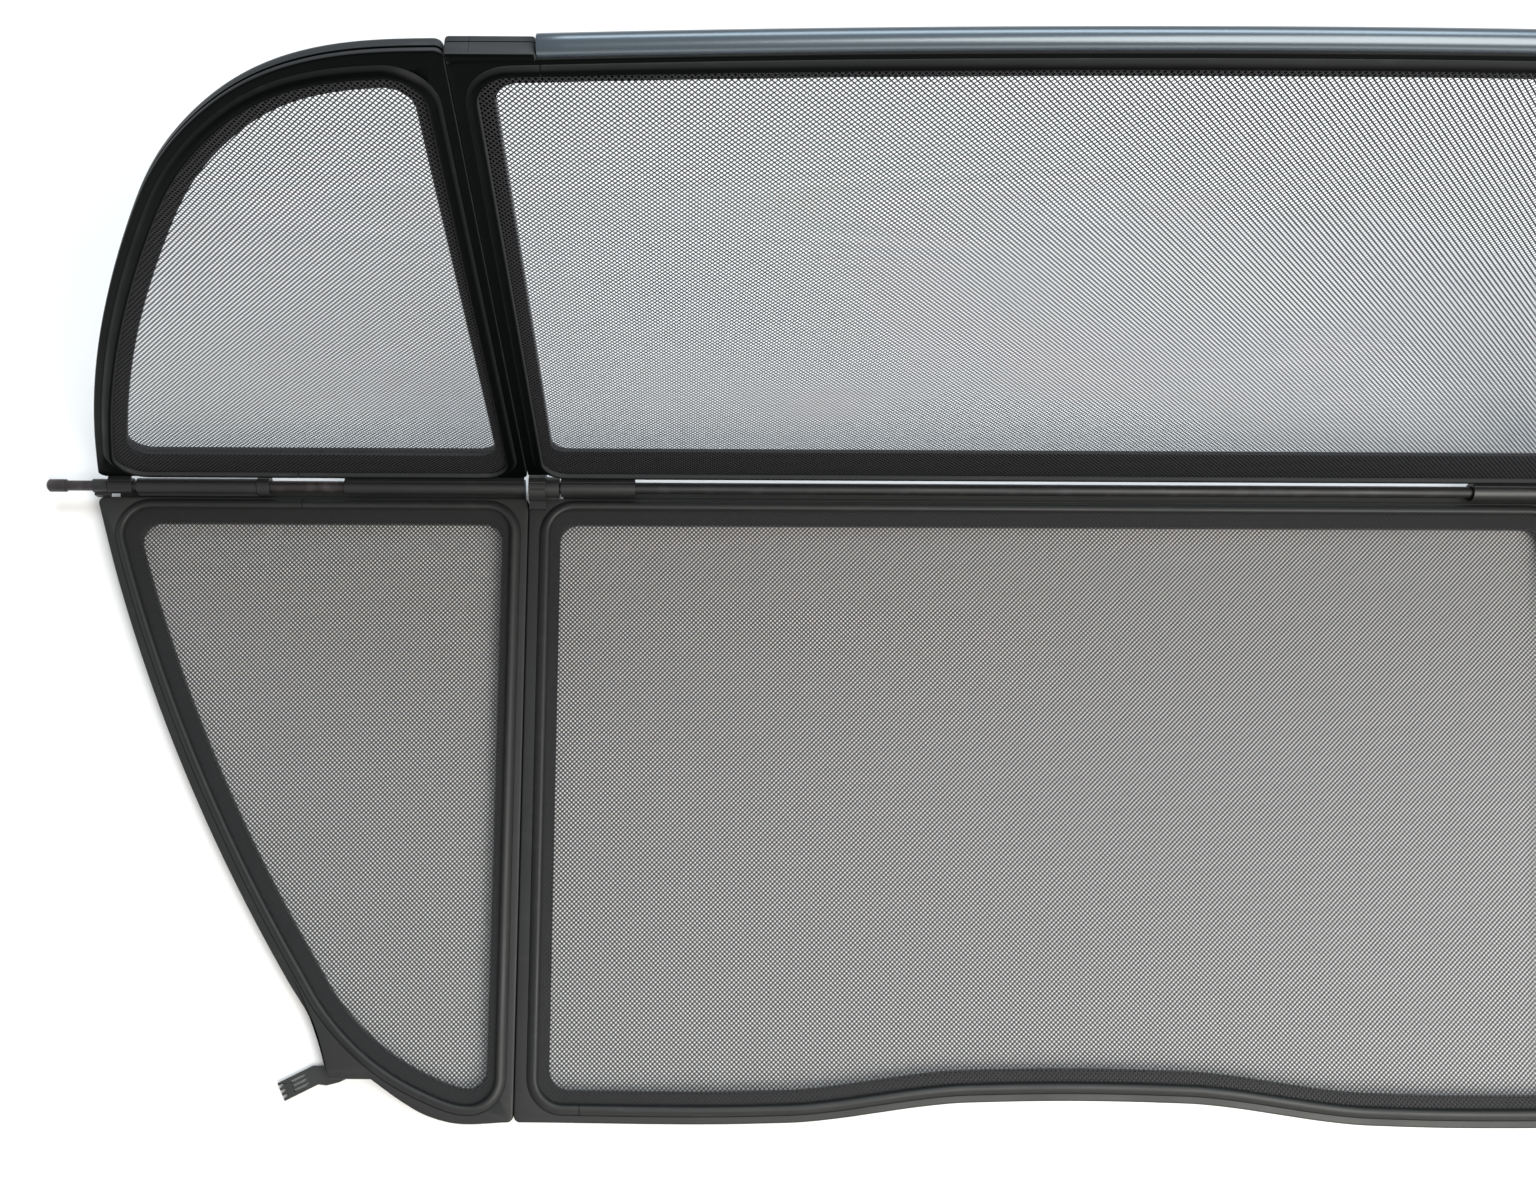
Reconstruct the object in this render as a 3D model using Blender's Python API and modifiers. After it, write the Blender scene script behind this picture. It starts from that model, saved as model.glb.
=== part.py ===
"""Folding wind deflector for an open car, standing half open.

Two mesh panels share one axle. The lower panel lies over the rear seats and the upper panel stands up behind
the front seats. Each panel has a centre and two wings, so it all folds up along two seams, and a sprung pin at
each end of the axle locks it into the side trim.

The origin is on the underside of the rail beside the axle, in the middle. X runs along the axle, the lower
panel runs towards -Y and Z is up. Sizes are in millimetres. Every piece is drawn in its panel's own frame,
where the axle is the X axis, reach is the distance from the axle and z is the height above its centre line.
"""

import math

import bmesh
import bpy
from mathutils import Euler, Matrix, Vector

MM = 0.001
SIDES = {"left": -1, "right": 1}
CLEARANCE = 0.3  # gap between pieces that touch

# The stack through both panels, as heights from the axle's centre line
BEAD_TOP = -0.6
FRAME_TOP = -3.6
FABRIC_BED = -5.3
SHELL_JOINT = -6.6
FRAME_BACK = -12.6
FABRIC_THICKNESS = 0.8

# Panels: x is measured from the middle, reach from the axle
SEAM_X = 366.75
SEAM_GAP = 0.5
CENTER_HALF_WIDTH = SEAM_X - SEAM_GAP / 2
WING_INNER_X = SEAM_X + SEAM_GAP / 2
WING_TIP_X = 670.0
PANEL_START = 6.9
AXLE_RAIL_MIDDLE = 15.5  # reach of the middle of the lower panel's axle rail
LOWER_REACH = 422.8
LOWER_NOTCH_REACH = 408.8
NOTCH_FLAT_X = 55.0
NOTCH_END_X = 205.0
WING_WAIST = (517.5, 335.5)  # where the lower wing's side turns out to its clip corner
UPPER_SHOULDER = (545.5, 278.0)
UPPER_CROWN = (461.0, 370.0)
UPPER_REACH = 388.0
TOP_FLANGE_EXTRA = 3.6  # how much wider the upper wings' flange is along the top
UPPER_CENTER_REACH = 381.5
UPPER_LEAN = 75.0  # degrees that the upper panel is raised from lying flat
TOP_BOW = 7.5
TOP_TUBE_RADIUS = 5.2
TOP_TUBE_END_X = 325.0
END_BLOCK_TOP = 389.2

# Rail widths, as (flange, bead, fabric band) along each kind of edge
LOWER_CENTER_RAILS = {
    "axle": (1.3, 6.8, 9.7),
    "seam": (7.6, 7.5, 6.8),
    "end": (4.6, 7.2, 7.6),
}
LOWER_WING_RAILS = {
    "axle": (1.3, 6.8, 9.7),
    "seam": (5.0, 7.0, 6.0),
    "end": (4.6, 7.2, 7.6),
    "side": (5.2, 6.8, 8.8),
}
UPPER_CENTER_RAILS = {
    "axle": (1.0, 5.0, 20.5),
    "seam": (5.5, 6.5, 7.1),
    "tube": (3.0, 5.5, 7.7),
}
UPPER_WING_RAILS = {
    "axle": (1.0, 5.0, 20.5),
    "seam": (5.0, 7.0, 6.1),
    "side": (4.4, 7.0, 8.6),
}
EDGE_BEVEL = 0.7
CORNER_OUTER = 4.0
CORNER_BEAD = 24.0
CORNER_OPENING = 13.0
CORNER_STEPS = 3
LIP_Z = (-11.2, -7.3)  # the lower frames' lip passes under the axle
CENTER_LIP_X = (-343.0, 343.0)
WING_LIP_X = (369.5, 655.0)
BUTT_JOINT_WIDTH = 0.5
WING_JOINT_X = 525.0
CENTER_JOINT_X = -324.0

# Axle pieces, as distances from the middle
PIN_TIP_X = 703.0
PIN_HEAD_X = 690.0
COLLAR_X = (660.5, 671.0)
BRACKET_X = (643.0, 660.0)
SPRING_TUBE_X = (556.0, 640.0)
SPRING_TUBE_LIP = 8.0
RING_X = (547.0, 555.5)
PIN_END_X = 486.0
WING_SLEEVE_X = (369.0, 495.0)
WING_SLEEVE_BORE_X = 440.0
KNUCKLE_X = (354.3, 366.0)
BARREL_X = (345.0, 354.8)
CENTER_SLEEVE_X = (292.0, 344.0)
NOTCH_X = (344.3, 368.0)
NOTCH_REACH = 11.5
PIN_HEAD_RADIUS = 4.5
PIN_SHAFT_RADIUS = 3.6
PIN_CORE_RADIUS = 2.5
PIN_SLIDER_RADIUS = 4.0
TUBE_RADIUS = 5.5
TUBE_BORE = 4.4
BEARING_BORE = 4.0
RING_RADIUS = 6.6
CENTER_SLEEVE_RADIUS = 6.4
CENTER_ROD_RADIUS = 4.0
KNUCKLE_RADIUS = 10.0
BARREL_RADIUS = 7.6
SPRING_RADIUS = 3.6
SPRING_WIRE = 0.5
SPRING_TURNS = 9
ROUND_SIDES = 20

# Fold hinges under each seam
FOLD_AXIS = FRAME_BACK - 2.0
HINGE_REACHES = (48.0, 378.0)
HINGE_LENGTH = 36.0
HINGE_RADIUS = 1.7
HINGE_BORE = 1.0
HINGE_PIN_RADIUS = 0.7
LEAF_WIDTH = 13.0
LEAF_THICKNESS = 1.0

# Corner clips, swinging under the wing's outer corner
CLIP_PIVOT = (480.0, 391.0)
CLIP_THICKNESS = 3.0
CLIP_PIN_RADIUS = 1.8
CLIP_PIN_DEPTH = 6.0

# The pieces of each side whose origin goes on the seam's fold axis, which they turn about
SEAM_PIECES = (
    "lower_wing_frame",
    "lower_wing_fabric",
    "lower_wing_retainer",
    "front_wing_leaf",
    "rear_wing_leaf",
    "clip_pivot",
    "pin_collar",
    "spring_tube",
)

BLACK_PLASTIC = ((0.022, 0.023, 0.022), 0.55, 0.0)
DARK_PLASTIC = ((0.012, 0.012, 0.013), 0.5, 0.0)
GLOSS_PLASTIC = ((0.010, 0.011, 0.012), 0.18, 0.0)
FABRIC = ((0.012, 0.012, 0.014), 0.8, 0.0)
STEEL = ((0.035, 0.033, 0.034), 0.35, 0.9)
SPRING_STEEL = ((0.45, 0.45, 0.46), 0.3, 1.0)

collections = {}
panels = {}
reach_signs = {"lower_panel": -1, "upper_panel": 1}


# Scene and object helpers


def clear_scene():
    for thing in list(bpy.data.objects):
        bpy.data.objects.remove(thing, do_unlink=True)


def new_collection(key, name):
    collections[key] = bpy.data.collections.new(name)
    bpy.context.scene.collection.children.link(collections[key])


def new_panel(name, lean):
    """An empty on the axle that carries one panel's pieces."""
    empty = bpy.data.objects.new(name, None)
    empty.location = Vector((0.0, AXLE_RAIL_MIDDLE, -FRAME_BACK)) * MM
    empty.rotation_euler.x = math.radians(lean)
    collections["parts"].objects.link(empty)
    panels[name] = empty


def material_for(name, look):
    colour, roughness, metallic = look
    made = bpy.data.materials.new(name)
    made.use_nodes = True
    shader = made.node_tree.nodes["Principled BSDF"]
    shader.inputs["Base Color"].default_value = (*colour, 1.0)
    shader.inputs["Roughness"].default_value = roughness
    shader.inputs["Metallic"].default_value = metallic
    made.diffuse_color = (*colour, 1.0)
    return made


def add_object(name, mesh, panel, look):
    """Links a mesh, given in its panel's frame, as a part, or as a cutter when it has no look."""
    made = bpy.data.objects.new(name, mesh)
    made.parent = panels[panel]
    if look is None:
        collections["cutters"].objects.link(made)
        made.hide_render = True
        made.display_type = "WIRE"
    else:
        collections["parts"].objects.link(made)
        mesh.materials.clear()
        mesh.materials.append(material_for(name, look))
    return made


def put_origin(thing, place):
    """Moves the object's origin to a joint's axis, given in the panel's frame."""
    thing.data.transform(Matrix.Translation(-Vector(place) * MM))
    thing.location = Vector(place) * MM


def weld(mesh):
    body = bmesh.new()
    body.from_mesh(mesh)
    bmesh.ops.remove_doubles(body, verts=body.verts, dist=0.00001)
    bmesh.ops.recalc_face_normals(body, faces=body.faces)
    body.to_mesh(mesh)
    body.free()


def apply_modifiers(thing):
    bpy.context.view_layer.update()
    evaluated = thing.evaluated_get(bpy.context.evaluated_depsgraph_get())
    thing.data = bpy.data.meshes.new_from_object(evaluated)
    thing.modifiers.clear()


def boolean(thing, other, operation):
    """Joins or cuts with another solid, which is used up."""
    step = thing.modifiers.new(operation.title(), "BOOLEAN")
    step.operation = operation
    step.solver = "EXACT"
    step.object = other
    apply_modifiers(thing)
    bpy.data.objects.remove(other, do_unlink=True)


def join(thing, other):
    boolean(thing, other, "UNION")


def cut(thing, other):
    boolean(thing, other, "DIFFERENCE")


def bevel(thing, width, segments=1, angle=40.0):
    step = thing.modifiers.new("Bevel", "BEVEL")
    step.width = width * MM
    step.segments = segments
    step.limit_method = "ANGLE"
    step.angle_limit = math.radians(angle)
    apply_modifiers(thing)


def bevel_rims(frame):
    """Breaks the sharp edges round a lower frame's front face and back face, and no others."""
    body = bmesh.new()
    body.from_mesh(frame.data)
    weight = body.edges.layers.float.new("bevel_weight_edge")
    for edge in body.edges:
        heights = [corner.co.z / MM for corner in edge.verts]
        on_front = min(heights) > FRAME_TOP - 0.01
        on_back = max(heights) < FRAME_BACK + 0.01
        if (on_front or on_back) and edge.calc_face_angle(0.0) > math.radians(40.0):
            edge[weight] = 1.0
    body.to_mesh(frame.data)
    body.free()
    step = frame.modifiers.new("Bevel", "BEVEL")
    step.width = EDGE_BEVEL * MM
    step.segments = 1
    step.limit_method = "WEIGHT"
    apply_modifiers(frame)


def shade_round(thing):
    thing.data.shade_smooth()
    thing.data.set_sharp_from_angle(angle=math.radians(35.0))


# Outlines, as lists of (x, reach)


def turning(outline):
    """+1 for a counterclockwise outline and -1 for a clockwise one."""
    area = 0.0
    for before, after in zip(outline, outline[1:] + outline[:1], strict=True):
        area += before[0] * after[1] - after[0] * before[1]
    return 1.0 if area > 0 else -1.0


def inset(outline, distances):
    """Moves every edge inwards by its own distance. Edge i runs from point i to the next one."""
    side = turning(outline)
    lines = []
    for i, point in enumerate(outline):
        along = (Vector(outline[(i + 1) % len(outline)]) - Vector(point)).normalized()
        normal = Vector((-along.y, along.x)) * side
        lines.append((normal, normal.dot(Vector(point)) + distances[i]))
    moved = []
    for i, point in enumerate(outline):
        before, before_level = lines[i - 1]
        after, after_level = lines[i]
        cross = before.x * after.y - before.y * after.x
        if abs(cross) < 0.02:
            moved.append(tuple(Vector(point) + (before + after).normalized() * distances[i]))
        else:
            x = (before_level * after.y - after_level * before.y) / cross
            reach = (before.x * after_level - after.x * before_level) / cross
            moved.append((x, reach))
    return moved


def rounded(outline, radius, sharpest=50.0):
    """Replaces each corner that turns by more than the given angle with an arc."""
    result = []
    for i, point in enumerate(outline):
        corner = Vector(point)
        back = Vector(outline[i - 1]) - corner
        ahead = Vector(outline[(i + 1) % len(outline)]) - corner
        turn = math.pi - back.angle(ahead)
        if math.degrees(turn) < sharpest:
            result.append(point)
            continue
        run = min(radius * math.tan(turn / 2), 0.45 * back.length, 0.45 * ahead.length)
        arc_radius = run / math.tan(turn / 2)
        bisector = (back.normalized() + ahead.normalized()).normalized()
        centre = corner + bisector * (arc_radius / math.cos(turn / 2))
        start = corner + back.normalized() * run - centre
        end = corner + ahead.normalized() * run - centre
        for step in range(CORNER_STEPS + 1):
            share = step / CORNER_STEPS
            spoke = start * math.sin((1 - share) * turn) + end * math.sin(share * turn)
            result.append(tuple(centre + spoke / math.sin(turn)))
    return result


def bowed(start, end, bow, steps):
    """Points of a shallow arc from start to just before end, which bulges to the right by bow."""
    first = Vector(start)
    run = Vector(end) - first
    right = Vector((run.y, -run.x)).normalized()
    return [tuple(first + run * s + right * bow * 4 * s * (1 - s)) for s in shares(steps)]


def eased(start, end, steps):
    """Points of an S, level at both ends, from start to just before end."""
    points = []
    for share in shares(steps):
        rise = (1 - math.cos(math.pi * share)) / 2
        points.append((start[0] + (end[0] - start[0]) * share, start[1] + (end[1] - start[1]) * rise))
    return points


def shares(steps):
    return [step / steps for step in range(steps)]


def lower_center_edges():
    """The four kinds of edge in order, each as the points where its edges start."""
    half = CENTER_HALF_WIDTH
    notch = eased((NOTCH_END_X, LOWER_REACH), (NOTCH_FLAT_X, LOWER_NOTCH_REACH), 5)
    rise = eased((-NOTCH_FLAT_X, LOWER_NOTCH_REACH), (-NOTCH_END_X, LOWER_REACH), 5)
    return [
        ("axle", [(-half, PANEL_START)]),
        ("seam", [(half, PANEL_START)]),
        ("end", [(half, LOWER_REACH), *notch, (NOTCH_FLAT_X, LOWER_NOTCH_REACH), *rise]),
        ("end", [(-NOTCH_END_X, LOWER_REACH)]),
        ("seam", [(-half, LOWER_REACH)]),
    ]


def lower_wing_edges():
    """The right wing, out along the axle, back round the slanted side and in along the stepped end."""
    return [
        ("axle", [(WING_INNER_X, PANEL_START)]),
        ("side", bowed((WING_TIP_X, PANEL_START), WING_WAIST, 13.0, 6)),
        ("side", [WING_WAIST, (501.0, 360.5), (492.5, 384.0)]),
        ("end", [(489.0, 396.5), (460.5, 396.5), (439.5, 410.5), (426.0, 417.8), (410.0, LOWER_REACH)]),
        ("seam", [(WING_INNER_X, LOWER_REACH)]),
    ]


def lower_wing_mesh_edges():
    """The same wing without its clip corner, which the fabric's edge passes in one smooth curve."""
    return [
        ("axle", [(WING_INNER_X, PANEL_START)]),
        ("side", bowed((WING_TIP_X, PANEL_START), WING_WAIST, 13.0, 6)),
        ("side", bowed(WING_WAIST, (407.0, LOWER_REACH), 14.2, 6)),
        ("end", [(407.0, LOWER_REACH)]),
        ("seam", [(WING_INNER_X, LOWER_REACH)]),
    ]


def upper_center_edges():
    half = CENTER_HALF_WIDTH
    return [
        ("axle", [(-half, PANEL_START)]),
        ("seam", [(half, PANEL_START)]),
        ("tube", bowed((half, UPPER_CENTER_REACH), (-half, UPPER_CENTER_REACH), TOP_BOW, 10)),
        ("seam", [(-half, UPPER_CENTER_REACH)]),
    ]


def upper_wing_edges(reach):
    """The right wing: a straight seam, a slanted side and a shoulder that tightens up to the given reach."""
    return [
        ("axle", [(WING_INNER_X, PANEL_START)]),
        ("side", bowed((WING_TIP_X - 4.0, PANEL_START), UPPER_SHOULDER, 9.3, 5)),
        ("side", bowed(UPPER_SHOULDER, UPPER_CROWN, 8.0, 4)),
        ("side", bowed(UPPER_CROWN, (392.0, reach), 4.5, 3)),
        ("side", [(392.0, reach)]),
        ("seam", [(WING_INNER_X, reach)]),
    ]


def strip_line(edges, rails, strips, extra, radius):
    """The outline moved in by the first strips of each edge's rail and a bit extra, with round corners."""
    outline = []
    distances = []
    for kind, points in edges:
        outline += points
        distances += [sum(rails[kind][:strips]) + extra] * len(points)
    return rounded(inset(outline, distances), radius)


# Solids


def flat_solid(name, loops, low, high, panel, look=None, side=1):
    """A flat outline with its holes, given thickness."""
    curve = bpy.data.curves.new(name, "CURVE")
    curve.dimensions = "2D"
    curve.fill_mode = "BOTH"
    curve.extrude = (high - low) / 2 * MM
    for loop in loops:
        spline = curve.splines.new("POLY")
        spline.points.add(len(loop) - 1)
        for corner, (x, reach) in zip(spline.points, loop, strict=True):
            corner.co = (side * x * MM, reach_signs[panel] * reach * MM, 0.0, 1.0)
        spline.use_cyclic_u = True
    return from_curve(name, curve, (0.0, 0.0, (low + high) / 2), panel, look)


def from_curve(name, curve, place, panel, look):
    """A curve turned into a welded mesh, with its place in the panel baked in."""
    helper = bpy.data.objects.new(name, curve)
    collections["parts"].objects.link(helper)
    bpy.context.view_layer.update()
    evaluated = helper.evaluated_get(bpy.context.evaluated_depsgraph_get())
    mesh = bpy.data.meshes.new_from_object(evaluated)
    mesh.transform(Matrix.Translation(Vector(place) * MM))
    weld(mesh)
    bpy.data.objects.remove(helper, do_unlink=True)
    return add_object(name, mesh, panel, look)


def pipe(name, points, radius, panel, look, sides=2):
    """A round rod along points given in the panel's frame."""
    curve = bpy.data.curves.new(name, "CURVE")
    curve.dimensions = "3D"
    curve.bevel_depth = radius * MM
    curve.bevel_resolution = sides
    curve.use_fill_caps = True
    spline = curve.splines.new("POLY")
    spline.points.add(len(points) - 1)
    for corner, point in zip(spline.points, points, strict=True):
        corner.co = (*(Vector(point) * MM), 1.0)
    return from_curve(name, curve, (0.0, 0.0, 0.0), panel, look)


def primitive(name, matrix, panel, look):
    """Takes over the primitive just added, with its size and place in the panel baked in."""
    helper = bpy.context.object
    mesh = helper.data
    mesh.transform(matrix)
    bpy.data.objects.remove(helper, do_unlink=True)
    return add_object(name, mesh, panel, look)


def bar(name, axis, span, radius, across, panel, look=None, sides=ROUND_SIDES):
    """A round bar along "x", "y" or "z", between two places on that axis. across is where it crosses zero."""
    turn = {"x": (0.0, math.pi / 2, 0.0), "y": (math.pi / 2, 0.0, 0.0), "z": (0.0, 0.0, 0.0)}[axis]
    centre = Vector(across)
    centre["xyz".index(axis)] = sum(span) / 2
    length = abs(span[1] - span[0])
    bpy.ops.mesh.primitive_cylinder_add(vertices=sides, radius=radius * MM, depth=length * MM)
    return primitive(name, Matrix.Translation(centre * MM) @ Euler(turn).to_matrix().to_4x4(), panel, look)


def box(name, x_span, y_span, z_span, panel, look=None):
    spans = (x_span, y_span, z_span)
    sizes = Matrix.Diagonal((*[abs(high - low) for low, high in spans], 1.0))
    centre = Vector([(low + high) / 2 for low, high in spans])
    bpy.ops.mesh.primitive_cube_add(size=MM)
    return primitive(name, Matrix.Translation(centre * MM) @ sizes, panel, look)


def turned(name, profile, panel, look, side=1, sides=ROUND_SIDES):
    """A piece turned about the axle, from a closed or axis-to-axis profile of (distance along X, radius)."""
    shape = bpy.data.meshes.new(name)
    body = bmesh.new()
    corners = [body.verts.new((radius * MM, 0.0, x * MM)) for x, radius in profile]
    for first, second in zip(corners, corners[1:], strict=False):
        body.edges.new((first, second))
    if profile[0][1] > 0:
        body.edges.new((corners[-1], corners[0]))
    body.to_mesh(shape)
    body.free()
    made = add_object(name, shape, panel, look)
    screw = made.modifiers.new("Screw", "SCREW")
    screw.steps = sides
    screw.render_steps = sides
    screw.use_merge_vertices = True
    screw.merge_threshold = 0.00001
    apply_modifiers(made)
    made.data.transform(Matrix.Rotation(side * math.pi / 2, 4, "Y"))
    weld(made.data)
    shade_round(made)
    return made


def hollow_profile(span, radius, bore):
    low, high = span
    return [(low, radius), (high, radius), (high, bore), (low, bore)]


# Panels


def framed_panel(prefix, outline, edges, rails, panel, side, joint, frame_look):
    """One section of a panel: its frame, the fabric on the frame's step and the bead that holds it down."""
    outer = strip_line(outline, rails, 0, 0.0, CORNER_OUTER)
    opening = strip_line(edges, rails, 3, 0.0, CORNER_OPENING)
    bed = strip_line(edges, rails, 1, 0.0, CORNER_BEAD)
    split = prefix.endswith("upper_wing")
    back = SHELL_JOINT if split else FRAME_BACK
    frame_name = f"{prefix}_front_shell" if split else f"{prefix}_frame"
    frame = flat_solid(frame_name, [outer, opening], back, FRAME_TOP, panel, frame_look, side)
    cut(frame, flat_solid("bed", [bed], FABRIC_BED, 0.0, panel, side=side))
    if split:
        shell = flat_solid(
            f"{prefix}_back_shell", [outer, opening], FRAME_BACK, SHELL_JOINT - CLEARANCE, panel, frame_look, side
        )
        bevel(shell, 1.6, 2)
    sheet = strip_line(edges, rails, 1, 1.0, CORNER_BEAD)
    fabric_low = FABRIC_BED + CLEARANCE
    fabric_high = fabric_low + FABRIC_THICKNESS
    flat_solid(f"{prefix}_fabric", [sheet], fabric_low, fabric_high, panel, FABRIC, side)
    retainer(prefix, edges, rails, fabric_high + CLEARANCE, panel, side, joint, frame_look)
    return frame


def retainer(prefix, edges, rails, low, panel, side, joint, look):
    """The bead over the fabric's edge, one strip bent round until its ends meet."""
    outside = strip_line(edges, rails, 1, CLEARANCE, CORNER_BEAD)
    inside = strip_line(edges, rails, 2, 0.0, CORNER_BEAD - 7.0)
    ring = flat_solid(f"{prefix}_retainer", [outside, inside], low, BEAD_TOP, panel, look, side)
    joint_x, joint_reach = joint
    width = BUTT_JOINT_WIDTH / 2
    reach_sign = reach_signs[panel]
    x_span = (side * joint_x - width, side * joint_x + width)
    y_span = sorted(reach_sign * (joint_reach + step) for step in (-9.0, 9.0))
    cut(ring, box("slit", x_span, y_span, (-8.0, 1.0), panel))
    bevel(ring, 1.3)
    shade_round(ring)


def lower_panel_sections():
    center_joint = (CENTER_JOINT_X, LOWER_REACH - 9.0)
    edges = lower_center_edges()
    frame = framed_panel(
        "lower_center", edges, edges, LOWER_CENTER_RAILS, "lower_panel", 1, center_joint, BLACK_PLASTIC
    )
    add_lip(frame, CENTER_LIP_X)
    bevel_rims(frame)
    for name, side in SIDES.items():
        joint = (WING_JOINT_X, PANEL_START + 5.0)
        prefix = f"{name}_lower_wing"
        outline = lower_wing_edges()
        edges = lower_wing_mesh_edges()
        frame = framed_panel(
            prefix, outline, edges, LOWER_WING_RAILS, "lower_panel", side, joint, BLACK_PLASTIC
        )
        pivot_x, pivot_reach = CLIP_PIVOT
        hole_place = (side * pivot_x, -pivot_reach, 0.0)
        hole_span = (FRAME_BACK - 1.0, FRAME_BACK + CLIP_PIN_DEPTH)
        cut(frame, bar("hole", "z", hole_span, CLIP_PIN_RADIUS + CLEARANCE, hole_place, "lower_panel", sides=12))
        add_lip(frame, sorted(side * x for x in WING_LIP_X))
        bevel_rims(frame)


def add_lip(frame, x_span):
    """The shelf along a lower frame that passes under the axle and closes the gap to it."""
    join(frame, box("lip", x_span, (-PANEL_START - 2.0, 0.0), LIP_Z, "lower_panel"))


def upper_panel_sections():
    joint = (CENTER_JOINT_X, UPPER_CENTER_REACH - 5.0)
    edges = upper_center_edges()
    frame = framed_panel("upper_center", edges, edges, UPPER_CENTER_RAILS, "upper_panel", 1, joint, DARK_PLASTIC)
    for side in SIDES.values():
        x_span = sorted(side * x for x in NOTCH_X)
        cut(frame, box("notch", x_span, (0.0, NOTCH_REACH), (-20.0, 5.0), "upper_panel"))
    bevel(frame, EDGE_BEVEL)
    for name, side in SIDES.items():
        joint = (WING_JOINT_X, PANEL_START + 4.0)
        prefix = f"{name}_upper_wing"
        outline = upper_wing_edges(UPPER_REACH)
        edges = upper_wing_edges(UPPER_REACH - TOP_FLANGE_EXTRA)
        frame = framed_panel(prefix, outline, edges, UPPER_WING_RAILS, "upper_panel", side, joint, DARK_PLASTIC)
        bevel(frame, EDGE_BEVEL)


def top_edge():
    """The bowed tube along the top of the upper centre, and the block at each end of it."""
    middle = (FRAME_BACK + BEAD_TOP) / 2
    start = UPPER_CENTER_REACH + TOP_TUBE_RADIUS + CLEARANCE
    points = []
    for step in range(15):
        share = step / 14
        x = TOP_TUBE_END_X * (2 * share - 1)
        bow = TOP_BOW * (1 - (x / CENTER_HALF_WIDTH) ** 2)
        points.append((x, start + bow, middle))
    tube = pipe("upper_top_tube", points, TOP_TUBE_RADIUS, "upper_panel", GLOSS_PLASTIC, 3)
    shade_round(tube)
    block_low = UPPER_CENTER_REACH + TOP_BOW * (1 - (TOP_TUBE_END_X / CENTER_HALF_WIDTH) ** 2) + CLEARANCE
    for name, side in SIDES.items():
        x_span = sorted(side * x for x in (TOP_TUBE_END_X + CLEARANCE, CENTER_HALF_WIDTH))
        y_span = (block_low, END_BLOCK_TOP)
        z_span = (FRAME_BACK, BEAD_TOP)
        block = box(f"{name}_end_block", x_span, y_span, z_span, "upper_panel", DARK_PLASTIC)
        bevel(block, 1.8, 2)
        shade_round(block)


# Axle


def webbed_sleeve(name, span, radius, bore, panel, look, side):
    """A tube on the axle with a web along it that reaches its panel's frame."""
    sleeve = turned(name, hollow_profile(span, radius, bore), panel, look, side)
    reach_sign = reach_signs[panel]
    x_span = sorted(side * x for x in span)
    y_span = sorted(reach_sign * reach for reach in (radius - 1.0, PANEL_START - CLEARANCE))
    web_x = (x_span[0] + 0.5, x_span[1] - 0.5)
    join(sleeve, box("web", web_x, y_span, (FABRIC_BED - 2.0, -0.8), panel))
    shade_round(sleeve)
    return sleeve


def wing_axle(name, side):
    """What the axle carries on one wing: bearings, the sprung pin and the ring that draws it back."""
    webbed_sleeve(f"{name}_pin_collar", COLLAR_X, TUBE_RADIUS - 0.7, BEARING_BORE, "lower_panel", BLACK_PLASTIC, side)
    webbed_sleeve(f"{name}_outer_bearing", BRACKET_X, TUBE_RADIUS, BEARING_BORE, "upper_panel", DARK_PLASTIC, side)
    spring_tube(name, side)
    wing_sleeve(name, side)
    locking_pin(name, side)
    ring = turned(
        f"{name}_finger_ring",
        hollow_profile(RING_X, RING_RADIUS, PIN_SLIDER_RADIUS + CLEARANCE),
        "lower_panel",
        BLACK_PLASTIC,
        side,
    )
    return ring


def spring_tube(name, side):
    """The fixed tube that the pin slides in. Its lip at the inner end holds the spring."""
    low, high = SPRING_TUBE_X
    lip = low + SPRING_TUBE_LIP
    inner = PIN_CORE_RADIUS + CLEARANCE
    profile = [(low, TUBE_RADIUS), (high, TUBE_RADIUS), (high, TUBE_BORE)]
    profile += [(lip, TUBE_BORE), (lip, inner), (low, inner)]
    tube = turned(f"{name}_spring_tube", profile, "lower_panel", BLACK_PLASTIC, side)
    x_span = sorted(side * x for x in (low + 0.5, high - 0.5))
    web_y = (CLEARANCE - PANEL_START, 1.0 - TUBE_RADIUS)
    join(tube, box("web", x_span, web_y, (FABRIC_BED - 2.0, -0.8), "lower_panel"))
    shade_round(tube)


def wing_sleeve(name, side):
    """The upper wing's inner bearing, bored from its outer end for the pin's slider."""
    low, high = WING_SLEEVE_X
    bore = WING_SLEEVE_BORE_X
    profile = [(low, 0.0), (low, TUBE_RADIUS), (high, TUBE_RADIUS), (high, TUBE_BORE), (bore, TUBE_BORE), (bore, 0.0)]
    sleeve = turned(f"{name}_wing_sleeve", profile, "upper_panel", DARK_PLASTIC, side)
    x_span = sorted(side * x for x in (low + 0.5, high - 0.5))
    web_y = (TUBE_RADIUS - 1.0, PANEL_START - CLEARANCE)
    join(sleeve, box("web", x_span, web_y, (FABRIC_BED - 2.0, -0.8), "upper_panel"))
    shade_round(sleeve)


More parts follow.
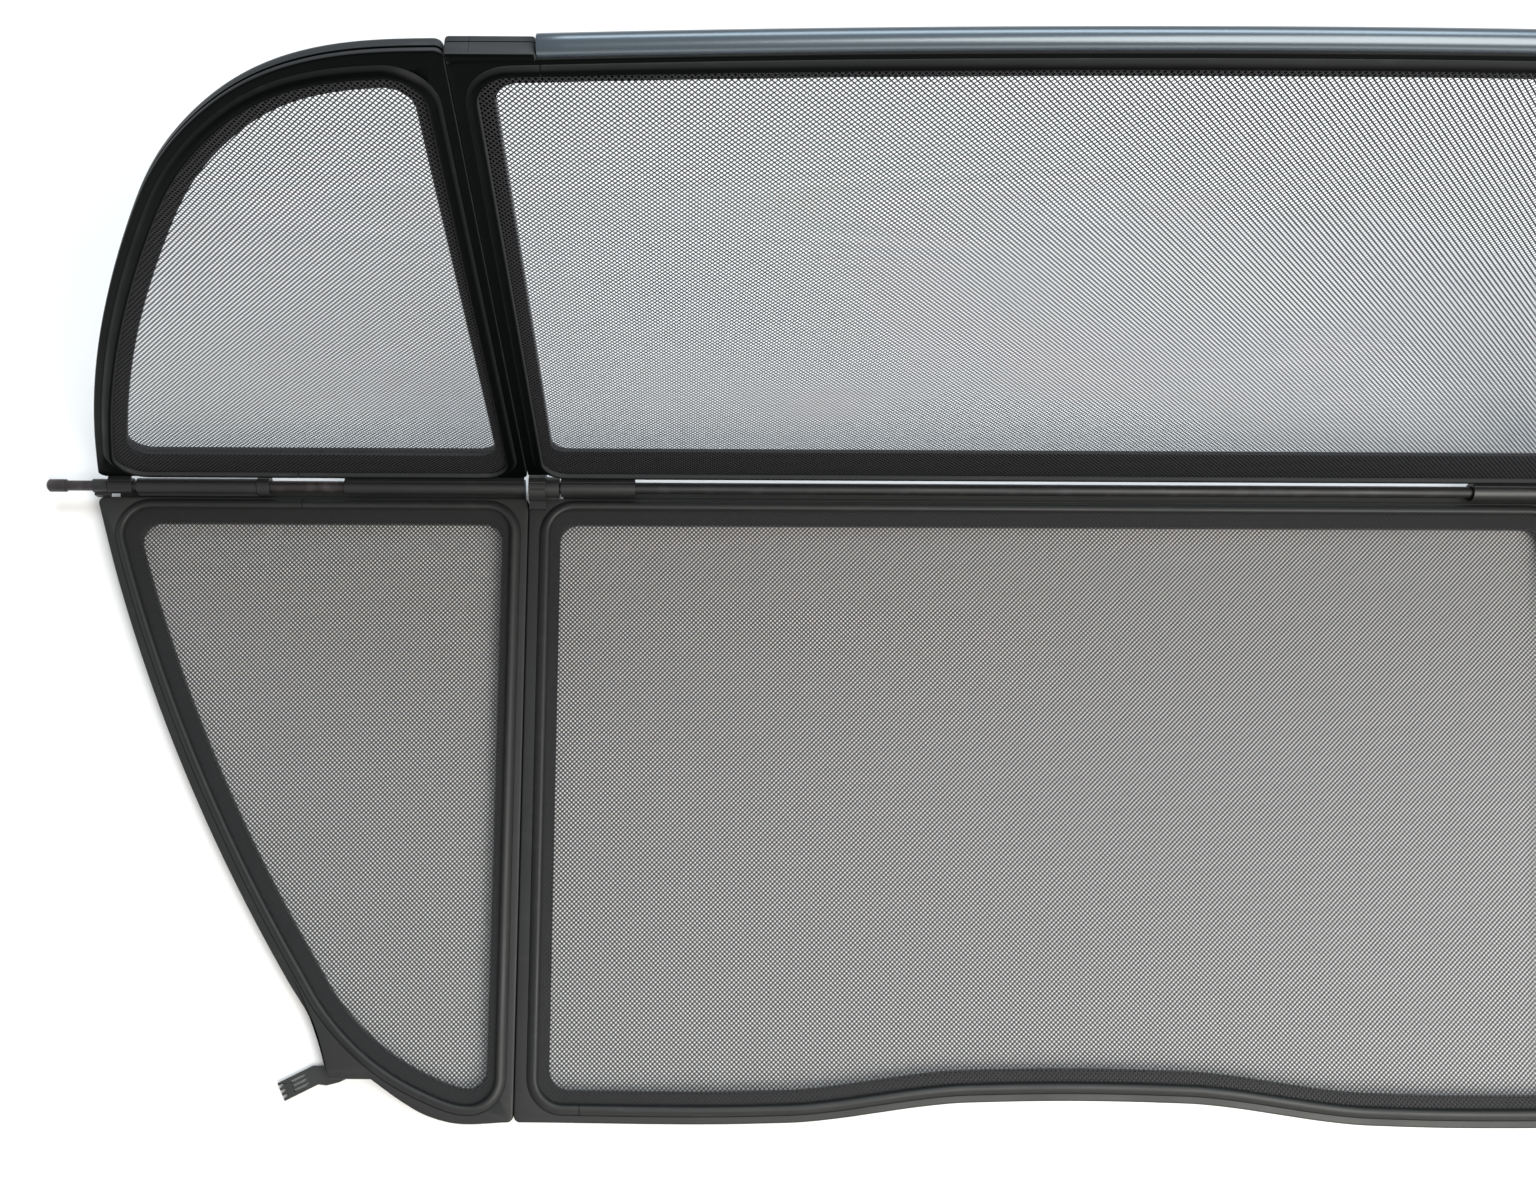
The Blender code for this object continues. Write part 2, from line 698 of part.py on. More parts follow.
def locking_pin(name, side):
    """The pin that enters the car's side trim, its core through the spring and its slider end."""
    tube_low, tube_high = SPRING_TUBE_X
    slider_start = tube_low - CLEARANCE
    profile = [
        (PIN_END_X, 0.0),
        (PIN_END_X, PIN_SLIDER_RADIUS),
        (slider_start, PIN_SLIDER_RADIUS),
        (slider_start, PIN_CORE_RADIUS),
        (tube_high, PIN_CORE_RADIUS),
        (tube_high, PIN_SHAFT_RADIUS),
        (PIN_HEAD_X, PIN_SHAFT_RADIUS),
        (PIN_HEAD_X, PIN_HEAD_RADIUS),
        (PIN_TIP_X - 1.5, PIN_HEAD_RADIUS),
        (PIN_TIP_X, PIN_HEAD_RADIUS - 1.5),
        (PIN_TIP_X, 0.0),
    ]
    turned(f"{name}_locking_pin", profile, "lower_panel", STEEL, side)
    low = tube_low + SPRING_TUBE_LIP + 0.5
    high = tube_high - 0.5
    points = []
    per_turn = 8
    for step in range(SPRING_TURNS * per_turn + 1):
        angle = 2 * math.pi * step / per_turn
        x = low + SPRING_WIRE + (high - low - 2 * SPRING_WIRE) * step / (SPRING_TURNS * per_turn)
        points.append((side * x, SPRING_RADIUS * math.cos(angle), SPRING_RADIUS * math.sin(angle)))
    pipe(f"{name}_pin_spring", points, SPRING_WIRE, "lower_panel", SPRING_STEEL, 0)


def center_axle():
    """The rod through the centre, the sleeves that the upper panel turns on, and the knuckles that hold it."""
    rod_end = KNUCKLE_X[1] - 1.5
    rod = bar("center_axle_rod", "x", (-rod_end, rod_end), CENTER_ROD_RADIUS, (0, 0, 0), "lower_panel", STEEL)
    shade_round(rod)
    for name, side in SIDES.items():
        bore = CENTER_ROD_RADIUS + CLEARANCE
        webbed_sleeve(
            f"{name}_center_sleeve", CENTER_SLEEVE_X, CENTER_SLEEVE_RADIUS, bore, "upper_panel", DARK_PLASTIC, side
        )
        knuckle(name, side, bore)


def knuckle(name, side, bore):
    """The ridged block on the lower centre's corner that holds the rod's end."""
    block_x = sorted(side * x for x in KNUCKLE_X)
    barrel_x = sorted(side * x for x in BARREL_X)
    block = bar(f"{name}_knuckle", "x", block_x, KNUCKLE_RADIUS, (0, 0, 0), "lower_panel", BLACK_PLASTIC, 24)
    join(block, box("tail", block_x, (-15.2, -4.0), (FRAME_TOP + CLEARANCE, 0.2), "lower_panel"))
    join(block, bar("barrel", "x", barrel_x, BARREL_RADIUS, (0, 0, 0), "lower_panel"))
    under = (min(block_x + barrel_x) - 1, max(block_x + barrel_x) + 1)
    cut(block, box("under", under, (-30.0, CLEARANCE - PANEL_START), (-30.0, FRAME_TOP + CLEARANCE), "lower_panel"))
    for degrees in (35, 60, 85, 110, 135):
        angle = math.radians(degrees)
        spot = (0.0, KNUCKLE_RADIUS * math.cos(angle), KNUCKLE_RADIUS * math.sin(angle))
        groove_x = (block_x[0] - 1, block_x[1] + 1)
        cut(block, bar("groove", "x", groove_x, 0.8, spot, "lower_panel", sides=8))
    hole_end = KNUCKLE_X[1] - 1.2
    hole_x = sorted(side * x for x in (BARREL_X[0] - 1, hole_end))
    cut(block, bar("bore", "x", hole_x, bore, (0, 0, 0), "lower_panel"))
    shade_round(block)


# Fold hinges and clips


def fold_hinges():
    for name, side in SIDES.items():
        for label, reach in zip(("front", "rear"), HINGE_REACHES, strict=True):
            center_leaf(f"{name}_{label}_center_leaf", side, reach)
            wing_leaf(f"{name}_{label}_wing_leaf", side, reach)


def leaf_plate(name, side, outward, reach, knuckles):
    """A plate under the frame with its hinge knuckles. outward is +1 on the wing and -1 on the centre."""
    high = FRAME_BACK - CLEARANCE
    z_span = (high - LEAF_THICKNESS, high)
    length = HINGE_LENGTH / 2
    near = side * (SEAM_X + outward * (HINGE_RADIUS + 0.5))
    far = side * (SEAM_X + outward * LEAF_WIDTH)
    y_span = (-reach - length, -reach + length)
    leaf = box(name, sorted((near, far)), y_span, z_span, "lower_panel", STEEL)
    axis_place = (side * SEAM_X, 0.0, FOLD_AXIS)
    for low, high_end in knuckles:
        span = (-reach + low, -reach + high_end)
        join(leaf, bar("knuckle", "y", span, HINGE_RADIUS, axis_place, "lower_panel", sides=12))
        tab = sorted((side * (SEAM_X + outward * 0.6), side * (SEAM_X + outward * (HINGE_RADIUS + 1.0))))
        join(leaf, box("tab", tab, span, z_span, "lower_panel"))
    return leaf


def center_leaf(name, side, reach):
    third = HINGE_LENGTH / 6
    end = HINGE_LENGTH / 2
    leaf = leaf_plate(name, side, -1, reach, [(-end, -third - CLEARANCE), (third + CLEARANCE, end)])
    span = (-reach - end - 1, -reach + end + 1)
    cut(leaf, bar("bore", "y", span, HINGE_BORE, (side * SEAM_X, 0.0, FOLD_AXIS), "lower_panel", sides=12))


def wing_leaf(name, side, reach):
    """The wing's leaf, with the hinge pin fixed in its one knuckle."""
    third = HINGE_LENGTH / 6
    end = HINGE_LENGTH / 2 - 1.0
    leaf = leaf_plate(name, side, 1, reach, [(-third, third)])
    span = (-reach - end, -reach + end)
    join(leaf, bar("pin", "y", span, HINGE_PIN_RADIUS, (side * SEAM_X, 0.0, FOLD_AXIS), "lower_panel", sides=12))


def clip_outline():
    """The right clip: a short arm, a bend and a toothed plate. Points are (x, reach) from the pivot."""
    bend = math.radians(26.0)
    along = Vector((math.cos(bend), math.sin(bend)))
    across = Vector((-along.y, along.x))
    start = Vector((21.0, -1.2))
    length = 25.0
    width = 12.4
    tooth = width / 7
    points = [(-6.0, -1.2), (-3.0, -6.0), (4.0, -6.0), (10.0, -1.2), tuple(start)]
    for step in range(8):
        out = length if step % 2 == 0 else length - 3.2
        edge = start + across * (tooth * step)
        if step < 7:
            points.append(tuple(edge + along * out))
            points.append(tuple(edge + across * tooth + along * out))
    points += [tuple(start + across * width + along * 1.0), (11.0, 11.0), (3.0, 9.0), (-6.0, 5.0)]
    slots = []
    for row in (-1, 0, 1):
        centre = start + along * 11.5 + across * (width / 2 + row * 3.0)
        half_run = along * 5.5
        half_width = across * 0.75
        corners = (half_run + half_width, half_run - half_width, -half_run - half_width, half_width - half_run)
        slots.append([tuple(centre + corner) for corner in corners])
    return points, slots


def corner_clip(name, side):
    pivot_x, pivot_reach = CLIP_PIVOT
    outline, slots = clip_outline()
    loops = []
    for loop in [outline, *slots]:
        loops.append([(x + pivot_x, reach + pivot_reach) for x, reach in loop])
    high = FRAME_BACK - CLEARANCE
    low = high - CLIP_THICKNESS
    clip = flat_solid(f"{name}_corner_clip", loops, low, high, "lower_panel", DARK_PLASTIC, side)
    place = (side * pivot_x, -pivot_reach, 0.0)
    cut(clip, bar("hole", "z", (low - 1, high + 1), CLIP_PIN_RADIUS + CLEARANCE, place, "lower_panel", sides=12))
    put_origin(clip, (side * pivot_x, -pivot_reach, low))
    pin_span = (low + CLEARANCE, FRAME_BACK + CLIP_PIN_DEPTH - CLEARANCE)
    pin = bar(f"{name}_clip_pivot", "z", pin_span, CLIP_PIN_RADIUS, place, "lower_panel", STEEL, 12)
    shade_round(pin)


def seam_origins():
    for name, side in SIDES.items():
        for piece in SEAM_PIECES:
            put_origin(bpy.data.objects[f"{name}_{piece}"], (side * SEAM_X, 0.0, FOLD_AXIS))


def build():
    clear_scene()
    new_collection("parts", "folding_wind_deflector")
    new_collection("cutters", "cutters")
    new_panel("lower_panel", 0.0)
    new_panel("upper_panel", UPPER_LEAN)
    lower_panel_sections()
    upper_panel_sections()
    top_edge()
    center_axle()
    for name, side in SIDES.items():
        wing_axle(name, side)
        corner_clip(name, side)
    fold_hinges()
    seam_origins()


build()
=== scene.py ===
import math

import bmesh
import bpy
from mathutils import Matrix, Vector


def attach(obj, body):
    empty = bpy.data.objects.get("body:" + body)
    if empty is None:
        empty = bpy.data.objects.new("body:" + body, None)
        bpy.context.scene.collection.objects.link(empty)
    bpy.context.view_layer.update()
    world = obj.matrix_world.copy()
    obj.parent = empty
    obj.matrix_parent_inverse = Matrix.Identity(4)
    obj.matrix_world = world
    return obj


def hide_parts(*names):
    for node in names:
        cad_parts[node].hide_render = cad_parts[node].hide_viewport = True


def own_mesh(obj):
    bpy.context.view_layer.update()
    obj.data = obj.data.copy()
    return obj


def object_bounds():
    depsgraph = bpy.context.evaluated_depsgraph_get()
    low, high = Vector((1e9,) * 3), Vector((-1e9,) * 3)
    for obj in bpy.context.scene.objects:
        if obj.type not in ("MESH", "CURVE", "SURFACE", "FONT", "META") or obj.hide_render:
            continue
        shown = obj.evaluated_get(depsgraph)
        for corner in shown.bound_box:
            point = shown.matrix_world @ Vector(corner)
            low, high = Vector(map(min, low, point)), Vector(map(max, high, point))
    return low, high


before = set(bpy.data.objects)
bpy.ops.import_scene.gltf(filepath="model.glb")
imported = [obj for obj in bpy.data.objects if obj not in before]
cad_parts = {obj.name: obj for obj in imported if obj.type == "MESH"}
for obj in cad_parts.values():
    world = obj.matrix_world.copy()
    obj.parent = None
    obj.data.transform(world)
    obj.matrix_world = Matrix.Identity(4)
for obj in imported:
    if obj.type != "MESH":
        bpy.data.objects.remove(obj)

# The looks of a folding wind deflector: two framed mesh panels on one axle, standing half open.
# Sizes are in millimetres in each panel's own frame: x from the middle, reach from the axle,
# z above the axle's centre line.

MM = 0.001
SIDES = {"left": -1, "right": 1}
CAD_BOX = [list(corner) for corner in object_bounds()]

# The CAD model's own dimensions, in the panels' frames
AXLE_PLACE = (0.0, 15.5, 12.6)
UPPER_LEAN = 75.0
SEAM_X = 366.75
CENTER_HALF = 366.5
WING_INNER_X = 367.0
WING_TIP_X = 670.0
PANEL_START = 6.9
LOWER_REACH = 422.8
LOWER_NOTCH_REACH = 408.8
NOTCH_FLAT_X = 55.0
NOTCH_END_X = 205.0
WING_WAIST = (517.5, 335.5)
CLIP_CORNER = (489.0, 396.5)
CLIP_EDGE_END = (460.5, 396.5)
UPPER_REACH = 388.0
UPPER_SHOULDER = (545.5, 278.0)
UPPER_CROWN = (461.0, 370.0)
TOP_FLANGE_EXTRA = 3.6
UPPER_CENTER_REACH = 381.5
TOP_BOW = 7.5
TOP_TUBE_RADIUS = 5.2
TOP_TUBE_END_X = 325.0
FRAME_BACK = -12.6
SHELL_JOINT = -6.6
FABRIC_BED = -5.3
FABRIC_LOW = -5.0
FABRIC_HIGH = -4.2
FRAME_TOP = -3.6
BEAD_TOP = -0.6
GAP = 0.3
LIP_Z = (-11.2, -7.3)
CENTER_LIP_X = (-343.0, 343.0)
WING_LIP_X = (369.5, 655.0)
KNUCKLE_NOTCH = ((344.3, 368.0), (0.0, 11.5), (-20.0, 5.0))

# Rail widths, as (flange, bead, fabric band)
LOWER_CENTER_RAILS = {"axle": (1.3, 6.8, 9.7), "seam": (7.6, 7.5, 6.8), "end": (4.6, 7.2, 7.6)}
LOWER_WING_RAILS = {"axle": (1.3, 6.8, 9.7), "seam": (5.0, 7.0, 6.0), "side": (5.2, 6.8, 8.8)}
UPPER_CENTER_RAILS = {"axle": (1.0, 5.0, 20.5), "seam": (5.5, 6.5, 7.1), "tube": (3.0, 5.5, 7.7)}
UPPER_WING_RAILS = {"axle": (1.0, 5.0, 20.5), "seam": (5.0, 7.0, 6.1), "side": (4.4, 7.0, 8.6)}

# Corner radii of the loops round a section
OUTER_RADIUS = 4.0
BEAD_RADIUS = 24.0
GROOVE_RADIUS = 17.0
OPENING_RADIUS = 13.0
CORNER_STEPS = 12
LOOP_SPACING = 4.0
TURN_WEIGHT = 30.0  # how many millimetres of loop a radian of turning counts for when points are spread
BUTT_JOINT = 0.5
SOFT_EDGE = 0.25
TUBE_END_ROUND = 0.8
END_STATIONS = 3  # rings that round off each end of the tube
WING_JOINT_X = 525.0
CENTER_JOINT_X = -324.0

# The mesh cloth: two families of strands on the diagonals
STRAND_SPACING = 2.15
STRAND_WIDTH = 0.74
STRAND_THICKNESS = 0.24
STRAND_OFFSET = 0.04


# Places


def panel_matrix(panel):
    """Takes a point (x, reach, z) of a panel, in millimetres, to the row frame in metres."""
    scale = Matrix.Diagonal((MM, MM, MM, 1.0))
    axle = Matrix.Translation(Vector(AXLE_PLACE) * MM)
    if panel == "lower":
        return axle @ scale @ Matrix.Diagonal((1.0, -1.0, 1.0, 1.0))
    return axle @ Matrix.Rotation(math.radians(UPPER_LEAN), 4, "X") @ scale


# Curves, as lists of points (x, reach)


def shares(steps):
    return [step / steps for step in range(steps)]


def bowed(start, end, bow, steps):
    """Points of a shallow arc from start to just before end, which bulges to the right by bow."""
    first = Vector(start)
    run = Vector(end) - first
    right = Vector((run.y, -run.x)).normalized()
    return [tuple(first + run * s + right * bow * 4 * s * (1 - s)) for s in shares(steps)]


def eased(start, end, steps):
    """Points of an S, level at both ends, from start to just before end."""
    points = []
    for share in shares(steps):
        rise = (1 - math.cos(math.pi * share)) / 2
        points.append((start[0] + (end[0] - start[0]) * share, start[1] + (end[1] - start[1]) * rise))
    return points


def smooth(points, steps=20):
    """A curve through the points, dense enough to offset. Two points give a straight run."""
    spots = [Vector(point) for point in points]
    tangents = []
    for i in range(len(spots)):
        before = spots[max(i - 1, 0)]
        after = spots[min(i + 1, len(spots) - 1)]
        if 0 < i < len(spots) - 1:
            back = spots[i] - before
            ahead = after - spots[i]
            slope = back / back.length * ahead.length + ahead / ahead.length * back.length
            tangents.append(slope.normalized())
        else:
            tangents.append((after - before).normalized())
    curve = []
    for i in range(len(spots) - 1):
        length = (spots[i + 1] - spots[i]).length
        for t in shares(steps):
            start_part = spots[i] * (2 * t**3 - 3 * t**2 + 1) + tangents[i] * length * (t**3 - 2 * t**2 + t)
            end_part = spots[i + 1] * (3 * t**2 - 2 * t**3) + tangents[i + 1] * length * (t**3 - t**2)
            curve.append(start_part + end_part)
    curve.append(spots[-1])
    return curve


def relaxed(curve, count=120, rounds=40):
    """The curve with its bends evened out. Its two ends stay where they are."""
    points = spread(curve, 0.0, len(curve) - 1.0, count, 0.0)
    for _ in range(rounds):
        middles = [(points[i - 1] + points[i] * 2 + points[i + 1]) / 4 for i in range(1, count)]
        points = [points[0], *middles, points[-1]]
    return points


def small_corner(before, corner, after, size):
    """A short bend that replaces a sharp corner between two straight runs."""
    spot = Vector(corner)
    start = spot + (Vector(before) - spot).normalized() * size
    end = spot + (Vector(after) - spot).normalized() * size
    return [start.lerp(spot, t).lerp(spot.lerp(end, t), t) for t in (0.0, 0.2, 0.4, 0.6, 0.8, 1.0)]


def offset(curve, distance, run_out=70.0):
    """The curve moved to its left, with a straight run-out at both ends."""
    first = (curve[0] - curve[1]).normalized() * run_out
    last = (curve[-1] - curve[-2]).normalized() * run_out
    points = [curve[0] + first, *curve, curve[-1] + last]
    moved = []
    for i, point in enumerate(points):
        along = (points[min(i + 1, len(points) - 1)] - points[max(i - 1, 0)]).normalized()
        if 0 < i < len(points) - 1:
            back = (point - points[i - 1]).normalized()
            ahead = (points[i + 1] - point).normalized()
            along = (back + ahead).normalized()
            stretch = 1.0 / max(along.dot(ahead), 0.5)
        else:
            stretch = 1.0
        moved.append(point + Vector((-along.y, along.x)) * distance * stretch)
    return moved


def crossing(first, second):
    """Where two curves cross, as a position along each, counted in points."""
    for j in range(len(second) - 1):
        other = second[j + 1] - second[j]
        for i in range(len(first) - 2, -1, -1):
            run = first[i + 1] - first[i]
            det = run.x * other.y - run.y * other.x
            if abs(det) < 1e-9:
                continue
            between = second[j] - first[i]
            t = (between.x * other.y - between.y * other.x) / det
            u = (between.x * run.y - between.y * run.x) / det
            if 0 <= t <= 1 and 0 <= u <= 1:
                return i + t, j + u
    raise ValueError("two sides of an outline don't meet")


def point_at(curve, position):
    low = min(int(position), len(curve) - 2)
    return curve[low].lerp(curve[low + 1], position - low)


def spread(curve, start, end, count, turn_weight=TURN_WEIGHT):
    """Points from one position of the curve to another, closer together where it bends."""
    inner = [i for i in range(len(curve)) if start < i < end]
    positions = [start, *inner, end]
    spots = [point_at(curve, position) for position in positions]
    weights = [0.0]
    for i in range(1, len(spots)):
        weight = (spots[i] - spots[i - 1]).length
        if i > 1 and weight > 1e-6 and (spots[i - 1] - spots[i - 2]).length > 1e-6:
            weight += turn_weight * (spots[i] - spots[i - 1]).angle(spots[i - 1] - spots[i - 2])
        weights.append(weights[-1] + weight)
    picked = []
    spot = 0
    for step in range(count + 1):
        goal = weights[-1] * step / count
        while spot < len(weights) - 2 and weights[spot + 1] < goal:
            spot += 1
        part = (goal - weights[spot]) / max(weights[spot + 1] - weights[spot], 1e-9)
        picked.append(spots[spot].lerp(spots[spot + 1], min(part, 1.0)))
    return picked


def loop_inside(sides, distances, radius, counts):
    """The closed loop at its own distance inside each side, with round corners. Every loop of a section has
    the same number of points, so that loops can be joined into surfaces."""
    corners = []
    for i, curve in enumerate(sides):
        after = (i + 1) % len(sides)
        inner = offset(curve, distances[i] + radius)
        next_inner = offset(sides[after], distances[after] + radius)
        corners.append((*crossing(inner, next_inner), inner))
    loop = []
    for i, curve in enumerate(sides):
        moved = offset(curve, distances[i])
        start = corners[i - 1][1]
        end, _, inner = corners[i]
        side_points = spread(moved, start, end, counts[i])
        loop += side_points
        after = (i + 1) % len(sides)
        centre = point_at(inner, end)
        next_start = point_at(offset(sides[after], distances[after]), corners[i][1])
        loop += arc_between(centre, side_points[-1], next_start)
    return loop


def arc_between(centre, start, end):
    """The points between start and end on the arc about centre."""
    first = start - centre
    last = end - centre
    if first.length < 1e-6 or last.length < 1e-6:
        return [start.lerp(end, step / CORNER_STEPS) for step in range(1, CORNER_STEPS)]
    turn = first.angle(last)
    points = []
    for step in range(1, CORNER_STEPS):
        share = step / CORNER_STEPS
        spoke = first * math.sin((1 - share) * turn) + last * math.sin(share * turn)
        points.append(centre + spoke / math.sin(turn))
    return points


# Outlines: the sides of each section in order, as (rail, points from corner to corner)


def lower_center_sides():
    half = CENTER_HALF
    notch = eased((NOTCH_END_X, LOWER_REACH), (NOTCH_FLAT_X, LOWER_NOTCH_REACH), 6)
    rise = eased((-NOTCH_FLAT_X, LOWER_NOTCH_REACH), (-NOTCH_END_X, LOWER_REACH), 6)
    end = [(half, LOWER_REACH), *notch, (NOTCH_FLAT_X, LOWER_NOTCH_REACH), *rise]
    end += [(-NOTCH_END_X, LOWER_REACH), (-half, LOWER_REACH)]
    return [
        ("axle", smooth([(-half, PANEL_START), (half, PANEL_START)])),
        ("seam", smooth([(half, PANEL_START), (half, LOWER_REACH)])),
        ("end", smooth(end)),
        ("seam", smooth([(-half, LOWER_REACH), (-half, PANEL_START)])),
    ]


def lower_wing_sides():
    """The mesh's outline, which passes the clip corner in one smooth curve."""
    bottom = (407.0, LOWER_REACH)
    side = bowed((WING_TIP_X, PANEL_START), WING_WAIST, 13.0, 6) + bowed(WING_WAIST, bottom, 14.2, 6)
    return wing_sides(side + [bottom, (WING_INNER_X, LOWER_REACH)], LOWER_REACH)


def lower_wing_outline():
    """The frame's outline, with its corner plate for the clip."""
    side = bowed((WING_TIP_X, PANEL_START), WING_WAIST, 13.0, 6)
    side += [WING_WAIST, (501.0, 360.5), (492.5, 384.0), CLIP_CORNER]
    step = [CLIP_EDGE_END, (439.5, 410.5), (426.0, 417.8), (410.0, LOWER_REACH), (WING_INNER_X, LOWER_REACH)]
    down = smooth(side)[:-1]
    corner = small_corner(down[-5], CLIP_CORNER, CLIP_EDGE_END, 3.5)
    away = smooth(step)
    kept = [point for point in down if (point - Vector(CLIP_CORNER)).length > 3.6]
    sides = wing_sides([(WING_TIP_X, PANEL_START), (WING_INNER_X, LOWER_REACH)], LOWER_REACH)
    sides[1] = ("side", kept + corner + away)
    return sides


def upper_wing_sides(reach):
    start = (WING_TIP_X - 4.0, PANEL_START)
    side = bowed(start, UPPER_SHOULDER, 9.3, 5) + bowed(UPPER_SHOULDER, UPPER_CROWN, 8.0, 4)
    side += bowed(UPPER_CROWN, (392.0, reach), 4.5, 3) + [(392.0, reach), (WING_INNER_X, reach)]
    sides = wing_sides(side, reach)
    return [(kind, relaxed(curve) if kind == "side" else curve) for kind, curve in sides]


def wing_sides(side, reach):
    return [
        ("axle", smooth([(WING_INNER_X, PANEL_START), side[0]])),
        ("side", smooth(side)),
        ("seam", smooth([(WING_INNER_X, reach), (WING_INNER_X, PANEL_START)])),
    ]


def upper_center_sides():
    half = CENTER_HALF
    top = bowed((half, UPPER_CENTER_REACH), (-half, UPPER_CENTER_REACH), TOP_BOW, 12)
    return [
        ("axle", smooth([(-half, PANEL_START), (half, PANEL_START)])),
        ("seam", smooth([(half, PANEL_START), (half, UPPER_CENTER_REACH)])),
        ("tube", smooth([*top, (-half, UPPER_CENTER_REACH)])),
        ("seam", smooth([(-half, UPPER_CENTER_REACH), (-half, PANEL_START)])),
    ]


def curve_length(curve):
    return sum((after - before).length for before, after in zip(curve, curve[1:]))


# Profiles across a rail, as (distance from the outline, corner radius, height), going round the section


def edge_round(rail):
    return min(1.2, 0.45 * rail[0])


def outer_wall(rail, low, high, soft_low, soft_high):
    """Up the outside of a frame, with its two edges rounded."""
    soft = edge_round(rail)
    rows = []
    for turn in (90.0, 60.0, 30.0, 0.0):
        angle = math.radians(turn)
        rows.append((soft * (1 - math.cos(angle)), OUTER_RADIUS, low + soft_low * (1 - math.sin(angle))))
    for turn in (0.0, 30.0, 60.0, 90.0):
        angle = math.radians(turn)
        rows.append((soft * (1 - math.cos(angle)), OUTER_RADIUS, high - soft_high * (1 - math.sin(angle))))
    return rows


def frame_profile(rail, low):
    """A frame with the step that the cloth lies on. The step slopes down where a rail is wide."""
    flange, bead, band = rail
    to_bead = flange
    to_groove = flange + bead
    to_opening = flange + bead + band
    drop = 3.6 if band > 15 else 0.5
    rows = outer_wall(rail, low, FRAME_TOP, 1.2, 1.0)
    rows += [
        (to_bead - 0.1, BEAD_RADIUS, FRAME_TOP),
        (to_bead, BEAD_RADIUS, FRAME_TOP - 0.1),
        (to_bead, BEAD_RADIUS, FABRIC_BED),
        (to_groove, GROOVE_RADIUS, FABRIC_BED),
        (to_groove + band * 0.4, GROOVE_RADIUS - 1.0, FABRIC_BED - drop * 0.25),
        (to_groove + band * 0.75, OPENING_RADIUS + 1.0, FABRIC_BED - drop * 0.65),
        (to_opening - 0.6, OPENING_RADIUS, FABRIC_BED - drop),
        (to_opening, OPENING_RADIUS, FABRIC_BED - drop - 0.7),
        (to_opening, OPENING_RADIUS, low + 0.8),
        (to_opening - 0.8, OPENING_RADIUS, low),
    ]
    return rows


def back_shell_profile(rail, low):
    """The rear half of an upper wing: a rounded channel."""
    to_opening = sum(rail)
    high = SHELL_JOINT - GAP
    rows = outer_wall(rail, low, high, 3.4, 0.4)
    rows += [
        (to_opening - 0.4, OPENING_RADIUS, high),
        (to_opening, OPENING_RADIUS, high - 0.4),
        (to_opening, OPENING_RADIUS, low + 1.6),
        (to_opening - 0.5, OPENING_RADIUS, low + 0.5),
        (to_opening - 1.6, OPENING_RADIUS, low),
    ]
    return rows


def bead_profile(rail, low):
    """The bead over the cloth's edge: a soft rise from the flange, a round top and a steep inner side."""
    flange, bead, _ = rail
    shape = [
        (0.02, FRAME_TOP - 0.05),
        (0.08, FRAME_TOP + 0.45),
        (0.18, FRAME_TOP + 1.25),
        (0.32, FRAME_TOP + 2.1),
        (0.48, BEAD_TOP - 0.3),
        (0.64, BEAD_TOP - 0.03),
        (0.78, BEAD_TOP - 0.12),
        (0.89, BEAD_TOP - 0.65),
        (0.96, BEAD_TOP - 1.4),
        (1.0, BEAD_TOP - 2.3),
        (1.0, low),
        (0.02, low),
    ]
    change = BEAD_RADIUS - GROOVE_RADIUS
    return [(flange + bead * share, BEAD_RADIUS - change * share, height) for share, height in shape]


# Meshes


def mesh_object(name, vertices, faces, sharp=35.0):
    mesh = bpy.data.meshes.new(name)
    mesh.from_pydata([tuple(vertex) for vertex in vertices], [], faces)
    made = bpy.data.objects.new(name, mesh)
    bpy.context.scene.collection.objects.link(made)
    finish_mesh(made, sharp)
    return made


def finish_mesh(made, sharp=35.0):
    body = bmesh.new()
    body.from_mesh(made.data)
    bmesh.ops.recalc_face_normals(body, faces=body.faces)
    body.to_mesh(made.data)
    body.free()
    made.data.shade_smooth()
    made.data.set_sharp_from_angle(angle=math.radians(sharp))


def section_loops(sides, outline, rails, profile, low):
    """The loops of a section, one for each row of its profile. Rows near the edge follow the outline."""
    counts = [6 if len(curve) < 12 else round(curve_length(curve) / LOOP_SPACING) for _, curve in outline]
    kinds = [kind for kind, _ in sides]
    rows_of = {kind: profile(rails[kind], low) for kind in set(kinds)}
    loops = []
    for row in range(len(next(iter(rows_of.values())))):
        radius = rows_of[kinds[0]][row][1]
        followed = outline if radius == OUTER_RADIUS else sides
        distances = [rows_of[kind][row][0] for kind in kinds]
        flat = loop_inside([curve for _, curve in followed], distances, radius, counts)
        heights = []
        for i, kind in enumerate(kinds):
            after = kinds[(i + 1) % len(kinds)]
            here = rows_of[kind][row][2]
            there = rows_of[after][row][2]
            heights += [here] * (counts[i] + 1)
            heights += [here + (there - here) * step / CORNER_STEPS for step in range(1, CORNER_STEPS)]
        loops.append([(point.x, point.y, height) for point, height in zip(flat, heights)])
    return loops


